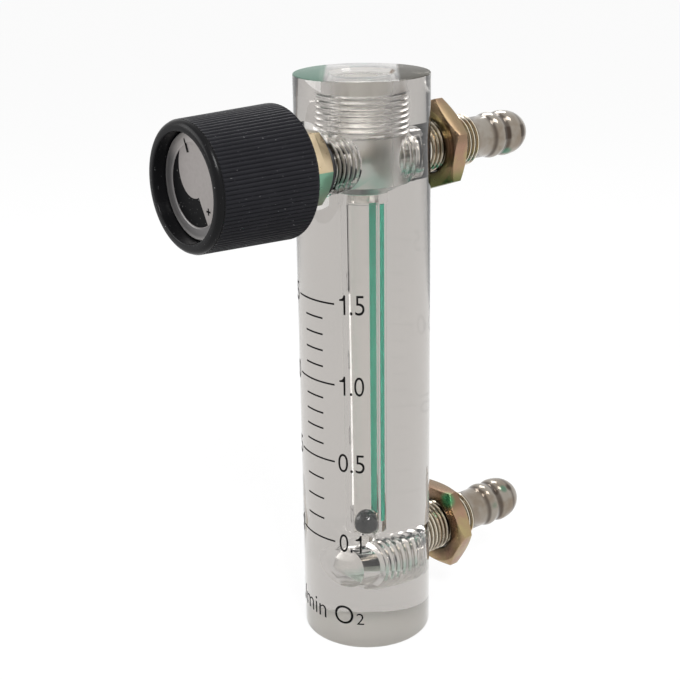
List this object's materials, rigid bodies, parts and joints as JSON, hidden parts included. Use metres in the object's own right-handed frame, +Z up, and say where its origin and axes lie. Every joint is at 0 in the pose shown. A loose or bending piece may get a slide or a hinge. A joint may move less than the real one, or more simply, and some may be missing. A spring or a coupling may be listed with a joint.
{
  "type": "oxygen flowmeter",
  "caption": "Clear column gas flowmeter with ball float, printed scale, front needle valve with ribbed knob, and hose barbs with panel nuts at the back.",
  "frame": {"origin": "centre of the column's flat bottom face, on the column's axis", "axes": "+Z up the column; -Y towards the knob at the front; +Y towards the hose barbs at the back; +X to the right of someone who faces the knob"},
  "size_m": [0.025, 0.0786, 0.11],
  "materials": {
    "clear_acrylic": "clear polished acrylic",
    "plug_acrylic": "clear turned acrylic",
    "bright_steel": "polished steel",
    "nickel_plate": "bright nickel plate on brass",
    "yellow_zinc": "yellow passivated zinc plate with pink and green casts",
    "turned_brass": "turned brass",
    "black_rubber": "moulded",
    "clear_rubber": "translucent moulded",
    "soft_polymer": "white turned polymer",
    "black_plastic": "satin moulded, ribbed",
    "label_metal": "satin silver with a black mark"
  },
  "bodies": {
    "column": {"clear_column": "clear_acrylic", "top_plug": "plug_acrylic", "float_stop": "plug_acrylic", "outlet_barb": "nickel_plate", "inlet_barb": "nickel_plate", "outlet_o_ring": "black_rubber", "inlet_o_ring": "clear_rubber", "outlet_panel_nut": "yellow_zinc", "inlet_panel_nut": "yellow_zinc", "valve_seat": "soft_polymer", "valve_bonnet": "turned_brass", "bonnet_o_ring": "black_rubber", "stem_retainer": "turned_brass"},
    "float": {"float_ball": "bright_steel"},
    "stem_seal": {"stem_o_ring": "black_rubber"},
    "control": {"knob": "black_plastic", "knob_bush": "turned_brass", "knob_set_screw": "bright_steel", "knob_label": "label_metal", "valve_stem": "turned_brass"}
  },
  "joints": [
    {"name": "float_rise", "type": "slide", "parent": "column", "child": "float", "axis": [0, 0, 1], "range_m": [0, 0.0612]},
    {"name": "valve_travel", "type": "slide", "parent": "column", "child": "stem_seal", "axis": [0, -1, 0], "range_m": [0, 0.00226]},
    {"name": "knob_turn", "type": "hinge", "parent": "stem_seal", "child": "control", "pos_m": [0, 0, 0.0945], "axis": [0, -1, 0], "range_deg": [0, 1080]}
  ],
  "couplings": [
    {"joint": "valve_travel", "follows": "knob_turn", "m_per_rad": 0.00011937}
  ]
}
